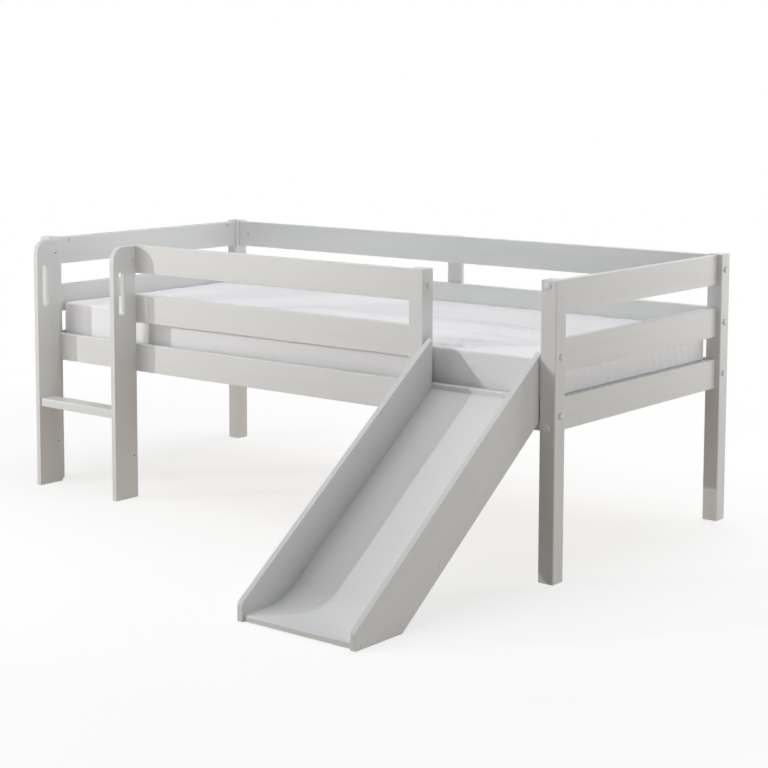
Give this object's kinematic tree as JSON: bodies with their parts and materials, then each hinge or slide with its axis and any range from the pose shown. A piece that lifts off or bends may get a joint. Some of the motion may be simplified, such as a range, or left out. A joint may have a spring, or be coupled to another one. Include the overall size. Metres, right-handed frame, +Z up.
{
  "type": "loft bed with slide",
  "caption": "Low child's loft bed with guard rails, a one-step ladder with hand slots, a slatted base, a lift-out mattress and a straight slide with a curved run-out",
  "frame": {"origin": "on the floor, under the centre of the whole footprint, slide included", "axes": "+X runs along the bed from the ladder end to the slide end, +Y points to the wall side away from the slide, +Z is up"},
  "size_m": [2.0916, 1.763, 0.837],
  "materials": {
    "painted_pine": "satin",
    "slide_sheet": "semi-gloss",
    "bare_pine": "matte",
    "cotton_cover": "matte",
    "bolt_steel": "satin"
  },
  "bodies": {
    "bed_frame": {"back_rail_lower": "painted_pine", "back_rail_middle": "painted_pine", "back_rail_upper": "painted_pine", "back_stile": "painted_pine", "bolt_back_left_lower": "bolt_steel", "bolt_back_left_middle": "bolt_steel", "bolt_back_left_upper": "bolt_steel", "bolt_back_right_lower": "bolt_steel", "bolt_back_right_middle": "bolt_steel", "bolt_back_right_upper": "bolt_steel", "bolt_front_left": "bolt_steel", "bolt_front_right": "bolt_steel", "bolt_slide_post_middle": "bolt_steel", "bolt_slide_post_upper": "bolt_steel", "end_rail_left_lower": "painted_pine", "end_rail_left_middle": "painted_pine", "end_rail_left_upper": "painted_pine", "end_rail_right_lower": "painted_pine", "end_rail_right_middle": "painted_pine", "end_rail_right_upper": "painted_pine", "guard_rail_middle": "painted_pine", "guard_rail_upper": "painted_pine", "ladder_board_left": "painted_pine", "ladder_board_right": "painted_pine", "ladder_step": "painted_pine", "post_back_left": "painted_pine", "post_back_right": "painted_pine", "post_front_left": "painted_pine", "post_front_right": "painted_pine", "side_rail_front": "painted_pine", "slat_01": "bare_pine", "slat_02": "bare_pine", "slat_03": "bare_pine", "slat_04": "bare_pine", "slat_05": "bare_pine", "slat_06": "bare_pine", "slat_07": "bare_pine", "slat_08": "bare_pine", "slat_09": "bare_pine", "slat_10": "bare_pine", "slat_11": "bare_pine", "slat_12": "bare_pine", "slat_13": "bare_pine", "slat_14": "bare_pine", "slat_cleat_back": "bare_pine", "slat_cleat_front": "bare_pine", "slide_batten_1": "painted_pine", "slide_batten_2": "painted_pine", "slide_batten_3": "painted_pine", "slide_batten_4": "painted_pine", "slide_board_left": "painted_pine", "slide_board_right": "painted_pine", "slide_chute": "slide_sheet", "slide_hanger": "painted_pine", "slide_nose_bar": "painted_pine", "slide_post": "painted_pine"},
    "mattress": {"mattress": "cotton_cover"}
  },
  "joints": [
    {"name": "mattress_lift_out", "type": "slide", "parent": "bed_frame", "child": "mattress", "axis": [0, 0, 1], "range_m": [0, 0.38]}
  ]
}
